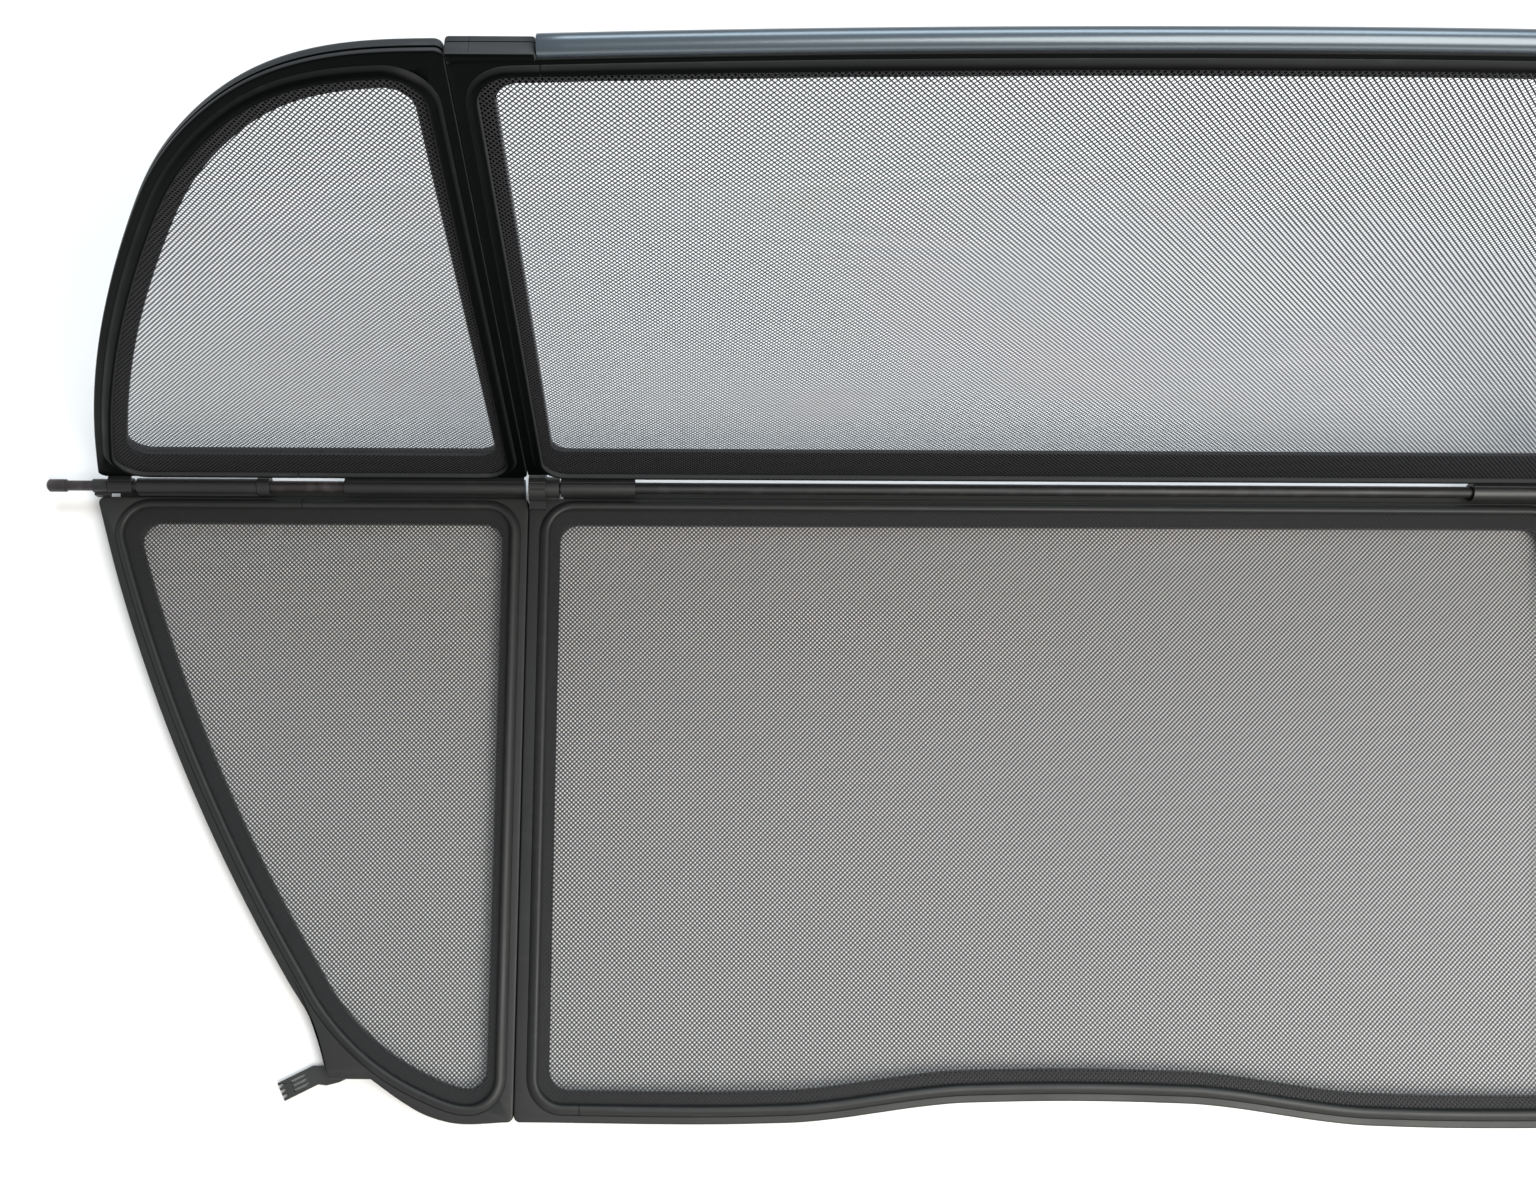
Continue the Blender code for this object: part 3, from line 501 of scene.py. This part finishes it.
def ring(name, loops, panel, side, joint=None):
    """Joins the loops into a closed ring. A joint is the (x, reach) where a bent strip's two ends meet."""
    count = len(loops[0])
    rows = len(loops)
    slit = None
    if joint is not None:
        slit = open_slit(loops, joint)
    matrix = panel_matrix(panel)
    vertices = []
    for loop in loops:
        vertices += [matrix @ Vector((side * x, reach, z)) for x, reach, z in loop]
    faces = []
    for row in range(rows):
        below = row * count
        above = (row + 1) % rows * count
        for i in range(count):
            after = (i + 1) % count
            if i != slit:
                faces.append((below + i, below + after, above + after, above + i))
    if slit is not None:
        faces.append([row * count + slit for row in range(rows)])
        faces.append([row * count + (slit + 1) % count for row in range(rows)])
    return mesh_object(name, vertices, faces)


def open_slit(loops, joint):
    """Brings two neighbouring points of every loop to the two sides of the joint."""
    joint_x, joint_reach = joint
    middle = loops[0]
    for i in range(len(middle) - 1):
        low, high = sorted((middle[i][0], middle[i + 1][0]))
        if low <= joint_x <= high and abs(middle[i][1] - joint_reach) < 30:
            direction = 1 if middle[i + 1][0] > middle[i][0] else -1
            for loop in loops:
                for step, shift in ((0, -direction), (1, direction)):
                    x, reach, z = loop[i + step]
                    loop[i + step] = (joint_x + shift * BUTT_JOINT / 2, reach, z)
            return i
    raise ValueError("no loop passes the joint")


def combine_box(made, panel, side, spans, operation):
    """Cuts a box, given in the panel's frame, out of a piece, or joins it on."""
    (x_low, x_high), (y_low, y_high), (z_low, z_high) = spans
    centre = Vector((side * (x_low + x_high) / 2, (y_low + y_high) / 2, (z_low + z_high) / 2))
    size = Matrix.Diagonal((x_high - x_low, y_high - y_low, z_high - z_low, 1.0))
    bpy.ops.mesh.primitive_cube_add(size=1.0)
    cutter = bpy.context.object
    cutter.data.transform(panel_matrix(panel) @ Matrix.Translation(centre) @ size)
    finish_mesh(cutter)
    step = made.modifiers.new("Box", "BOOLEAN")
    step.operation = operation
    step.object = cutter
    bpy.context.view_layer.update()
    evaluated = made.evaluated_get(bpy.context.evaluated_depsgraph_get())
    made.data = bpy.data.meshes.new_from_object(evaluated)
    made.modifiers.clear()
    bpy.data.objects.remove(cutter, do_unlink=True)
    made.data.set_sharp_from_angle(angle=math.radians(35.0))


def cloth(name, outline, panel, side):
    """Open mesh cloth: straight strands on both diagonals, each cut off at the outline."""
    matrix = panel_matrix(panel)
    vertices = []
    faces = []
    middle = (FABRIC_LOW + FABRIC_HIGH) / 2
    for turn, lift in ((45.0, STRAND_OFFSET), (-45.0, -STRAND_OFFSET)):
        along = Vector((math.cos(math.radians(turn)), math.sin(math.radians(turn))))
        across = Vector((-along.y, along.x))
        levels = [across.dot(point) for point in outline]
        first = math.ceil(min(levels) / STRAND_SPACING)
        last = math.floor(max(levels) / STRAND_SPACING)
        for number in range(first, last + 1):
            level = number * STRAND_SPACING
            for start, end in spans_inside(outline, along, levels, level):
                strand(vertices, faces, matrix, side, along, across, level, (start, end), middle + lift)
    return mesh_object(name, vertices, faces, sharp=30.0)


def spans_inside(outline, along, levels, level):
    """The stretches of one diagonal line that lie inside the outline."""
    crossings = []
    for i, point in enumerate(outline):
        after = (i + 1) % len(outline)
        if (levels[i] - level) * (levels[after] - level) < 0:
            share = (level - levels[i]) / (levels[after] - levels[i])
            crossings.append(along.dot(point.lerp(outline[after], share)))
    crossings.sort()
    return list(zip(crossings[::2], crossings[1::2]))


def strand(vertices, faces, matrix, side, along, across, level, span, height):
    """One strand, with a flattened six-sided section."""
    base = len(vertices)
    section = [(-0.5, 0.0), (-0.25, 0.5), (0.25, 0.5), (0.5, 0.0), (0.25, -0.5), (-0.25, -0.5)]
    for end in span:
        for wide, thick in section:
            spot = along * end + across * (level + wide * STRAND_WIDTH)
            vertices.append(matrix @ Vector((side * spot.x, spot.y, height + thick * STRAND_THICKNESS)))
    count = len(section)
    for i in range(count):
        after = (i + 1) % count
        faces.append((base + i, base + after, base + count + after, base + count + i))
    faces.append(tuple(base + i for i in range(count)))
    faces.append(tuple(base + count + i for i in range(count)))


def tube_along(name, points, radius, panel, sides=32):
    """A round bar along points given in the panel's frame, with rounded ends."""
    matrix = panel_matrix(panel)
    spots = [Vector(point) for point in points]
    soft = TUBE_END_ROUND
    stations = [(spots[0], radius - soft, 0.0), (spots[0], radius - 0.3 * soft, 0.3 * soft)]
    stations += [(spots[0], radius, soft)]
    stations += [(spot, radius, 0.0) for spot in spots[1:-1]]
    stations += [(spots[-1], radius, -soft), (spots[-1], radius - 0.3 * soft, -0.3 * soft)]
    stations += [(spots[-1], radius - soft, 0.0)]
    start_run = (spots[1] - spots[0]).normalized()
    end_run = (spots[-1] - spots[-2]).normalized()
    vertices = []
    faces = []
    for i, (spot, size, step) in enumerate(stations):
        run = start_run if i < END_STATIONS else end_run
        centre = spot + run * step
        for turn in range(sides):
            angle = 2 * math.pi * turn / sides
            vertices.append(matrix @ (centre + Vector((0, size * math.cos(angle), size * math.sin(angle)))))
    for i in range(len(stations) - 1):
        for turn in range(sides):
            after = (turn + 1) % sides
            here = i * sides
            there = here + sides
            faces.append((here + turn, here + after, there + after, there + turn))
    faces.append(tuple(range(sides)))
    faces.append(tuple((len(stations) - 1) * sides + turn for turn in range(sides)))
    return mesh_object(name, vertices, faces)


def refined(node, width=SOFT_EDGE):
    """A finer copy of a CAD node: joined faces, softened edges and smooth curves."""
    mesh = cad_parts[node].data.copy()
    made = bpy.data.objects.new(f"{node}_look", mesh)
    bpy.context.scene.collection.objects.link(made)
    body = bmesh.new()
    body.from_mesh(mesh)
    bmesh.ops.remove_doubles(body, verts=body.verts, dist=0.00001)
    bmesh.ops.dissolve_limit(body, angle_limit=math.radians(1.0), verts=body.verts, edges=body.edges)
    body.to_mesh(mesh)
    body.free()
    if "custom_normal" in mesh.attributes:
        mesh.attributes.remove(mesh.attributes["custom_normal"])
    finish_mesh(made)
    if width > 0:
        step = made.modifiers.new("Soft edges", "BEVEL")
        step.width = width * MM
        step.segments = 2
        step.limit_method = "ANGLE"
        step.angle_limit = math.radians(40.0)
        step.harden_normals = True
    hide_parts(node)
    return made


# Materials


def new_material(name, colour, roughness, metallic=0.0):
    made = bpy.data.materials.new(name)
    made.use_nodes = True
    shader = made.node_tree.nodes["Principled BSDF"]
    shader.inputs["Base Color"].default_value = (*colour, 1.0)
    shader.inputs["Roughness"].default_value = roughness
    shader.inputs["Metallic"].default_value = metallic
    return made, shader


def noise(tree, scale, detail=3.0, stretch=(1.0, 1.0, 1.0)):
    """Noise in the object's own space, with scale in features per metre."""
    place = tree.nodes.new("ShaderNodeTexCoord")
    mapping = tree.nodes.new("ShaderNodeMapping")
    mapping.inputs["Scale"].default_value = stretch
    pattern = tree.nodes.new("ShaderNodeTexNoise")
    pattern.inputs["Scale"].default_value = scale
    pattern.inputs["Detail"].default_value = detail
    tree.links.new(place.outputs["Object"], mapping.inputs["Vector"])
    tree.links.new(mapping.outputs["Vector"], pattern.inputs["Vector"])
    return pattern.outputs["Fac"]


def between(tree, factor, low, high, span=(0.3, 0.7)):
    """Turns a 0 to 1 pattern into a value from low to high."""
    made = tree.nodes.new("ShaderNodeMapRange")
    made.inputs["From Min"].default_value = span[0]
    made.inputs["From Max"].default_value = span[1]
    made.inputs["To Min"].default_value = low
    made.inputs["To Max"].default_value = high
    tree.links.new(factor, made.inputs["Value"])
    return made.outputs["Result"]


def mixed(tree, factor, first, second):
    """Mixes two colours, each given as numbers or as the output of another node."""
    made = tree.nodes.new("ShaderNodeMix")
    made.data_type = "RGBA"
    sockets = [socket for socket in made.inputs if socket.type == "RGBA"]
    for socket, colour in zip(sockets, (first, second)):
        if isinstance(colour, tuple):
            socket.default_value = (*colour, 1.0)
        else:
            tree.links.new(colour, socket)
    tree.links.new(factor, made.inputs["Factor"])
    return next(socket for socket in made.outputs if socket.type == "RGBA")


def bump(tree, shader, height, strength, distance):
    made = tree.nodes.new("ShaderNodeBump")
    made.inputs["Strength"].default_value = strength
    made.inputs["Distance"].default_value = distance * MM
    tree.links.new(height, made.inputs["Height"])
    tree.links.new(made.outputs["Normal"], shader.inputs["Normal"])


def painted_front_shade_mask(tree):
    """1 where the surface looks the way the upper panel's front does, and 0 on its sides and back. It masks
    the painted shade on those front faces.
    """
    place = tree.nodes.new("ShaderNodeTexCoord")
    facing = tree.nodes.new("ShaderNodeVectorMath")
    facing.operation = "DOT_PRODUCT"
    lean = math.radians(UPPER_LEAN)
    facing.inputs[1].default_value = (0.0, -math.sin(lean), math.cos(lean))
    tree.links.new(place.outputs["Normal"], facing.inputs[0])
    return between(tree, facing.outputs["Value"], 0.0, 1.0, (0.35, 0.8))


def plastic(name, colour, roughness, grain=0.25, scuff=0.5, specular=0.5, painted_front_shade=None):
    """Moulded plastic: a fine grain, cloudy gloss, and dull scuffs along the way it is handled. A front
    shade colour, where given, is painted shade on the faces turned to the front.
    """
    made, shader = new_material(name, colour, roughness)
    tree = made.node_tree
    shader.inputs["Specular IOR Level"].default_value = specular
    worn = tuple(channel * 1.5 + 0.004 for channel in colour)
    scuffs = between(tree, noise(tree, 60.0, 8.0, (1.0, 3.0, 3.0)), 0.0, scuff, (0.56, 0.74))
    finish = mixed(tree, scuffs, colour, worn)
    # Painted shade: faces turned to the front get a near-black colour, and the sides keep the lighter colour
    # as a painted sheen.
    if painted_front_shade is not None:
        finish = mixed(tree, painted_front_shade_mask(tree), finish, painted_front_shade)
    tree.links.new(finish, shader.inputs["Base Color"])
    cloud = noise(tree, 18.0, 4.0)
    tree.links.new(between(tree, cloud, roughness - 0.05, roughness + 0.07), shader.inputs["Roughness"])
    bump(tree, shader, noise(tree, 1400.0, 2.0), grain, 0.12)
    return made


def metal(name, colour, roughness, metallic, stretch):
    """Drawn metal with a dark finish: fine lines along it and brighter wear."""
    made, shader = new_material(name, colour, roughness, metallic)
    tree = made.node_tree
    worn = tuple(channel * 2.2 + 0.01 for channel in colour)
    wear = between(tree, noise(tree, 90.0, 6.0), 0.0, 0.8, (0.52, 0.72))
    tree.links.new(mixed(tree, wear, colour, worn), shader.inputs["Base Color"])
    lines = noise(tree, 300.0, 4.0, stretch)
    tree.links.new(between(tree, lines, roughness - 0.08, roughness + 0.12), shader.inputs["Roughness"])
    bump(tree, shader, lines, 0.15, 0.05)
    return made


def cloth_material():
    """Black knitted polyester strands with a faint cool sheen and uneven twist."""
    made, shader = new_material("mesh cloth", (0.008, 0.008, 0.009), 0.75)
    tree = made.node_tree
    shader.inputs["Sheen Weight"].default_value = 0.12
    shader.inputs["Sheen Roughness"].default_value = 0.4
    shader.inputs["Sheen Tint"].default_value = (0.75, 0.82, 1.0, 1.0)
    shade = between(tree, noise(tree, 700.0, 3.0), 0.0, 1.0)
    colour = mixed(tree, shade, (0.005, 0.005, 0.006), (0.013, 0.013, 0.015))
    tree.links.new(colour, shader.inputs["Base Color"])
    bump(tree, shader, noise(tree, 3500.0, 2.0, (1.0, 1.0, 0.3)), 0.5, 0.15)
    return made


def gloss_material():
    """The top tube's polished black skin."""
    made, shader = new_material("gloss black", (0.03, 0.042, 0.055), 0.3)
    tree = made.node_tree
    shader.inputs["Specular IOR Level"].default_value = 1.0
    shader.inputs["Specular Tint"].default_value = (0.75, 0.9, 1.0, 1.0)
    shader.inputs["Coat Weight"].default_value = 0.7
    shader.inputs["Coat Roughness"].default_value = 0.25
    cloud = noise(tree, 25.0, 5.0, (0.3, 1.0, 1.0))
    tree.links.new(between(tree, cloud, 0.26, 0.36), shader.inputs["Roughness"])
    bump(tree, shader, noise(tree, 120.0, 2.0), 0.04, 0.2)
    return made


def floor_material():
    made, shader = new_material("pale floor", (0.93, 0.93, 0.925), 0.85)
    shader.inputs["Specular IOR Level"].default_value = 0.1
    return made


def all_materials():
    return {
        "lower_frame": plastic("lower frame plastic", (0.014, 0.015, 0.0145), 0.5, specular=0.4),
        # Painted light: the upper frame's sides are lighter, with the gloss almost off, as a painted sheen;
        # its front faces are near-black as painted shade.
        "upper_frame": plastic(
            "upper frame plastic with painted front shade",
            (0.04, 0.042, 0.044),
            0.42,
            grain=0.18,
            specular=0.05,
            painted_front_shade=(0.0006, 0.001, 0.001),
        ),
        "sleeve": plastic("sleeve plastic", (0.012, 0.013, 0.013), 0.4, grain=0.12),
        "axle_plastic": plastic("axle plastic", (0.016, 0.017, 0.017), 0.42, grain=0.12),
        "clip": plastic("clip plastic", (0.022, 0.024, 0.023), 0.45),
        "gloss": gloss_material(),
        "cloth": cloth_material(),
        "rod": metal("black rod", (0.006, 0.006, 0.007), 0.5, 0.0, (0.05, 1.0, 1.0)),
        "pin": metal("dark pin", (0.03, 0.025, 0.027), 0.4, 0.3, (0.05, 1.0, 1.0)),
        "hinge": metal("black hinge steel", (0.02, 0.02, 0.02), 0.4, 0.5, (1.0, 0.05, 1.0)),
        "spring": metal("spring steel", (0.4, 0.4, 0.41), 0.3, 1.0, (1.0, 1.0, 1.0)),
    }


looks = {}


def dress(made, body, look):
    made.data.materials.clear()
    made.data.materials.append(looks[look])
    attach(made, body)


# Panels


def section(prefix, sides, outline, rails, panel, side, body, joint, layers):
    """One section's frame, bead and mesh cloth."""
    look = f"{panel}_frame"
    for name, low, profile in layers:
        loops = section_loops(sides, outline, rails, profile, low)
        made = ring(f"{prefix}_{name}_look", loops, panel, side)
        if prefix == "upper_center":
            for notch_side in SIDES.values():
                combine_box(made, panel, notch_side, KNUCKLE_NOTCH, "DIFFERENCE")
        if panel == "lower":
            lip_x = CENTER_LIP_X if prefix == "lower_center" else WING_LIP_X
            lip = (lip_x, (0.0, PANEL_START + 2.0), LIP_Z)
            combine_box(made, panel, side, lip, "UNION")
        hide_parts(f"{prefix}_{name}")
        dress(made, body, look)
    loops = section_loops(sides, sides, rails, bead_profile, FABRIC_HIGH + GAP)
    bead = ring(f"{prefix}_bead", loops, panel, side, joint)
    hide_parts(f"{prefix}_retainer")
    dress(bead, body, look)
    counts = [60] * len(sides)
    distances = [rails[kind][0] + 1.0 for kind, _ in sides]
    edge = loop_inside([curve for _, curve in sides], distances, BEAD_RADIUS - 1.0, counts)
    sheet = cloth(f"{prefix}_mesh_cloth", edge, panel, side)
    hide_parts(f"{prefix}_fabric")
    dress(sheet, body, "cloth")
    declare_sheet(edge)


def declare_sheet(edge):
    area = 0.0
    for i, point in enumerate(edge):
        after = edge[(i + 1) % len(edge)]
        area += (point.x * after.y - after.x * point.y) / 2
    area = abs(area) * MM * MM


# What a section's frame is made of, as (name, height of its underside, profile)
WHOLE_FRAME = [("frame", FRAME_BACK, frame_profile)]
TWO_SHELLS = [
    ("front_shell", SHELL_JOINT, frame_profile),
    ("back_shell", FRAME_BACK, back_shell_profile),
]


def panels():
    center = lower_center_sides()
    joint = (CENTER_JOINT_X, LOWER_REACH - 9.0)
    rails = LOWER_CENTER_RAILS
    section("lower_center", center, center, rails, "lower", 1, "lower_center", joint, WHOLE_FRAME)
    center = upper_center_sides()
    joint = (CENTER_JOINT_X, UPPER_CENTER_REACH - 5.0)
    rails = UPPER_CENTER_RAILS
    section("upper_center", center, center, rails, "upper", 1, "upper_center", joint, WHOLE_FRAME)
    for name, side in SIDES.items():
        joint = (WING_JOINT_X, PANEL_START + 5.0)
        inner = lower_wing_sides()
        outline = lower_wing_outline()
        prefix = f"{name}_lower_wing"
        section(prefix, inner, outline, LOWER_WING_RAILS, "lower", side, f"{name}_wing", joint, WHOLE_FRAME)
        inner = upper_wing_sides(UPPER_REACH - TOP_FLANGE_EXTRA)
        outline = upper_wing_sides(UPPER_REACH)
        prefix = f"{name}_upper_wing"
        body = f"{name}_wing_upper"
        section(prefix, inner, outline, UPPER_WING_RAILS, "upper", side, body, joint, TWO_SHELLS)


BLOCK_LINES = (
    ((300.0, 380.0), (388.2, 400.0), (-8.4, -7.9)),
    ((355.0, 355.25), (388.8, 400.0), (-20.0, 0.0)),
)


def top_edge():
    middle = (FRAME_BACK + BEAD_TOP) / 2
    start = UPPER_CENTER_REACH + TOP_TUBE_RADIUS + GAP
    points = []
    steps = 48
    for step in range(steps + 1):
        x = TOP_TUBE_END_X * (2 * step / steps - 1)
        points.append((x, start + TOP_BOW * (1 - (x / CENTER_HALF) ** 2), middle))
    tube = tube_along("upper_top_tube_look", points, TOP_TUBE_RADIUS, "upper")
    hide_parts("upper_top_tube")
    dress(tube, "upper_center", "gloss")
    for name, side in SIDES.items():
        block = refined(f"{name}_end_block", 0.0)
        for line in BLOCK_LINES:
            combine_box(block, "upper", side, line, "DIFFERENCE")
        dress(block, "upper_center", "upper_frame")


# Axle, hinges and clips


AXLE_PIECES = {
    "center_sleeve": ("upper_center", "sleeve", "sleeve_plastic"),
    "wing_sleeve": ("{}_wing_upper", "sleeve", "sleeve_plastic"),
    "outer_bearing": ("{}_wing_upper", "sleeve", "sleeve_plastic"),
    "knuckle": ("lower_center", "axle_plastic", "axle_plastic"),
    "pin_collar": ("{}_wing", "axle_plastic", "axle_plastic"),
    "spring_tube": ("{}_wing", "axle_plastic", "axle_plastic"),
    "finger_ring": ("{}_pin", "axle_plastic", "axle_plastic"),
    "locking_pin": ("{}_pin", "pin", "pin_steel"),
    "pin_spring": ("{}_wing", "spring", "spring_steel"),
    "front_center_leaf": ("lower_center", "hinge", "hinge_steel"),
    "rear_center_leaf": ("lower_center", "hinge", "hinge_steel"),
    "front_wing_leaf": ("{}_wing", "hinge", "hinge_steel"),
    "rear_wing_leaf": ("{}_wing", "hinge", "hinge_steel"),
    "corner_clip": ("{}_clip", "clip", "clip_plastic"),
    "clip_pivot": ("{}_wing", "hinge", "hinge_steel"),
}


def small_pieces():
    rod = refined("center_axle_rod")
    dress(rod, "lower_center", "rod")
    for name in SIDES:
        for piece, (body, look, slot) in AXLE_PIECES.items():
            made = refined(f"{name}_{piece}", 0.0 if piece == "pin_spring" else SOFT_EDGE)
            dress(made, body.format(name), look)
            if piece == "pin_spring":
                squeeze(made)


def squeeze(spring):
    """Gives the spring a mesh of its own and leaves its shape as it is. The real spring shortens as the pin
    is drawn in, towards the end that rests on the tube's lip.
    """
    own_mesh(spring)


# Surroundings


FLOOR_SIZE = 8.0
FLOOR_GAP = 0.0002


def floor():
    low = CAD_BOX[0][2]
    bpy.ops.mesh.primitive_plane_add(size=FLOOR_SIZE, location=(0.0, 0.0, low - FLOOR_GAP))
    made = bpy.context.object
    made.name = "floor"
    made.data.materials.append(floor_material())


def area_light(name, place, target, size, power, colour):
    data = bpy.data.lights.new(name, "AREA")
    data.shape = "RECTANGLE"
    data.size, data.size_y = size
    data.energy = power
    data.color = colour
    made = bpy.data.objects.new(name, data)
    made.location = place
    made.rotation_euler = (Vector(target) - Vector(place)).to_track_quat("-Z", "Y").to_euler()
    bpy.context.scene.collection.objects.link(made)


def lights():
    bpy.context.scene.view_settings.view_transform = "Standard"
    world = bpy.data.worlds.new("soft room")
    bpy.context.scene.world = world
    world.use_nodes = True
    background = world.node_tree.nodes["Background"]
    background.inputs["Color"].default_value = (1.0, 0.99, 0.98, 1.0)
    background.inputs["Strength"].default_value = 0.45
    area_light("window", (0.4, 1.75, 2.5), (0.1, 0.1, 0.3), (2.8, 1.2), 72.0, (0.8, 0.91, 1.0))
    area_light("overhead", (0.75, -0.9, 1.5), (0.0, -0.2, 0.0), (1.5, 1.5), 50.0, (1.0, 0.97, 0.925))


def camera():
    data = bpy.data.cameras.new("camera")
    made = bpy.data.objects.new("camera", data)
    bpy.context.scene.collection.objects.link(made)
    bpy.context.scene.camera = made
    forward = Vector((0.0, 0.17813, -0.98401))
    up = Vector((0.0, 0.98401, 0.17813))
    right = Vector((1.0, 0.0, 0.0))
    turn = Matrix((right, up, -forward)).transposed().to_4x4()
    roll = Matrix.Rotation(0.0049, 4, "Z")
    made.matrix_world = Matrix.Translation((-0.2583, -0.2254, 0.9464)) @ turn @ roll
    data.sensor_width = 36.0
    data.lens = 32.2
    data.shift_x = 0.0553
    data.clip_start = 0.01


looks.update(all_materials())
panels()
top_edge()
small_pieces()
floor()
lights()
camera()
